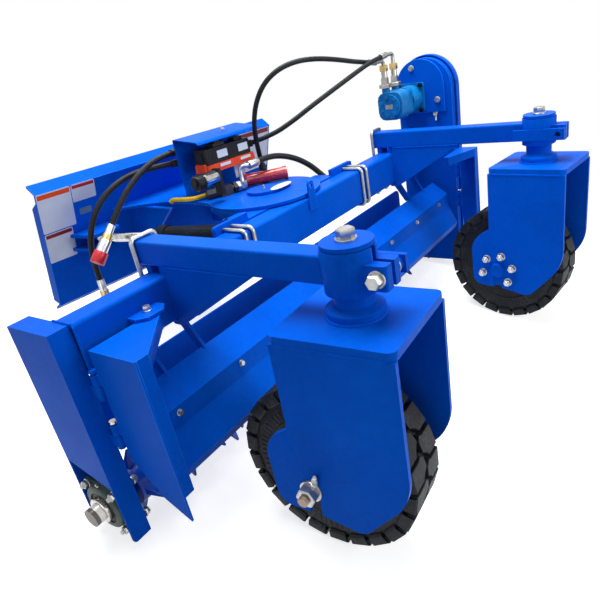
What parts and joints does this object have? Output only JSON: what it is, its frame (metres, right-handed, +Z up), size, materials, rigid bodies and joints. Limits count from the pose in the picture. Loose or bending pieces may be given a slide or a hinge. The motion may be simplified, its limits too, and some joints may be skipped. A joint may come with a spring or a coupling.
{
  "type": "soil conditioner",
  "caption": "Loader-mounted soil conditioner: toothed rotor under a cross beam, swivel hitch plate, chain drive and two caster gauge wheels.",
  "frame": {"origin": "on the floor, under the middle of the whole machine's box", "axes": "+X along the cross beam towards the chain drive, +Y towards the loader's hitch plate, +Z up"},
  "size_m": [2.052, 1.6754, 1.0283],
  "materials": {
    "frame_paint": "gloss royal blue enamel",
    "hitch_paint": "gloss royal blue enamel",
    "caster_paint": "gloss royal blue enamel",
    "wing_paint": "gloss royal blue enamel",
    "rotor_paint": "gloss royal blue enamel",
    "rim_paint": "black enamel",
    "motor_paint": "lighter blue enamel over a casting",
    "cylinder_paint": "black enamel",
    "bearing_casting": "grey-green painted casting",
    "zinc_steel": "zinc plated",
    "chromed_rod": "polished",
    "black_plastic": "matt black",
    "hose_rubber": "black hose cover",
    "clear_plastic": "clear tube",
    "tyre_rubber": "moulded rubber"
  },
  "bodies": {
    "frame": {"main_beam": "frame_paint", "end_housing_left": "frame_paint", "chain_case": "frame_paint", "chain_cover": "frame_paint", "motor_plate": "frame_paint", "hydraulic_motor": "motor_paint", "rotor_bearing_left": "bearing_casting", "deflector": "frame_paint", "rear_shield": "frame_paint", "deflector_struts": "frame_paint", "arm_left": "frame_paint", "arm_right": "frame_paint", "arm_u_bolts": "zinc_steel", "swivel_base": "frame_paint", "swivel_pin": "frame_paint", "swivel_u_bolts": "zinc_steel", "cylinder_pin": "zinc_steel", "wing_hinge_left": "frame_paint", "wing_hinge_right": "frame_paint", "wing_latches": "frame_paint", "motor_fittings": "zinc_steel", "frame_port": "zinc_steel"},
    "hitch": {"swivel_disc": "hitch_paint", "hitch_plate": "hitch_paint", "hitch_gussets": "hitch_paint", "cylinder_bracket": "hitch_paint", "valve_shroud": "hitch_paint", "control_box": "black_plastic", "swing_valve": "zinc_steel", "solenoid": "black_plastic", "document_tube": "clear_plastic", "hose_ports": "zinc_steel", "motor_hose_upper": "hose_rubber", "motor_hose_lower": "hose_rubber", "valve_hose": "hose_rubber", "supply_hose_upper": "hose_rubber", "supply_hose_lower": "hose_rubber", "coupler_upper": "zinc_steel", "coupler_lower": "zinc_steel"},
    "cylinder_barrel": {"cylinder_barrel": "cylinder_paint"},
    "cylinder_rod": {"cylinder_rod": "chromed_rod"},
    "rotor": {"rotor": "rotor_paint"},
    "caster_left": {"spindle_left": "caster_paint", "caster_fork_left": "caster_paint", "axle_left": "zinc_steel"},
    "wheel_left": {"rim_left": "rim_paint", "tyre_left": "tyre_rubber"},
    "caster_right": {"spindle_right": "caster_paint", "caster_fork_right": "caster_paint", "axle_right": "zinc_steel"},
    "wheel_right": {"rim_right": "rim_paint", "tyre_right": "tyre_rubber"},
    "wing_left": {"wing_left": "wing_paint"},
    "wing_right": {"wing_right": "wing_paint"}
  },
  "joints": [
    {"name": "hitch_swing", "type": "hinge", "parent": "frame", "child": "hitch", "pos_m": [0.014, 0.13808, 0.59225], "axis": [0, 0.1219, 0.9925], "range_deg": [-19, 31], "deforming": ["motor_hose_upper", "motor_hose_lower", "valve_hose"]},
    {"name": "cylinder_turn", "type": "hinge", "parent": "frame", "child": "cylinder_barrel", "pos_m": [-0.216, 0.06014, 0.55649], "axis": [0, 0.1219, 0.9925], "range_deg": [-19.5, 31.5]},
    {"name": "rod_slide", "type": "slide", "parent": "cylinder_barrel", "child": "cylinder_rod", "axis": [-0.1997, 0.9725, -0.1194], "range_m": [-0.1249, 0.0768]},
    {"name": "rotor_spin", "type": "hinge", "parent": "frame", "child": "rotor", "pos_m": [0.014, -0.04693, 0.11121], "axis": [1, 0, 0], "continuous": true},
    {"name": "caster_left_swivel", "type": "hinge", "parent": "frame", "child": "caster_left", "pos_m": [-0.626, -0.58913, 0.70069], "axis": [0, 0.1219, 0.9925], "continuous": true},
    {"name": "wheel_left_spin", "type": "hinge", "parent": "caster_left", "child": "wheel_left", "pos_m": [-0.63165, -0.53791, 0.23282], "axis": [0.9986, 0.0519, -0.0064], "continuous": true},
    {"name": "caster_right_swivel", "type": "hinge", "parent": "frame", "child": "caster_right", "pos_m": [0.654, -0.63875, 0.70678], "axis": [0, 0.1219, 0.9925], "continuous": true},
    {"name": "wheel_right_spin", "type": "hinge", "parent": "caster_right", "child": "wheel_right", "pos_m": [0.66716, -0.58894, 0.2329], "axis": [0.9925, -0.121, 0.0149], "continuous": true},
    {"name": "wing_left_open", "type": "hinge", "parent": "frame", "child": "wing_left", "pos_m": [-0.928, -0.10257, 0.4072], "axis": [0, 0.1219, 0.9925], "range_deg": [-90, 0]},
    {"name": "wing_right_open", "type": "hinge", "parent": "frame", "child": "wing_right", "pos_m": [0.956, -0.24351, 0.42451], "axis": [0, 0.1219, 0.9925], "range_deg": [0, 90]}
  ],
  "couplings": [
    {"joint": "cylinder_turn", "follows": "hitch_swing", "ratio": 1},
    {"joint": "rod_slide", "follows": "hitch_swing", "m_per_rad": -0.23}
  ]
}
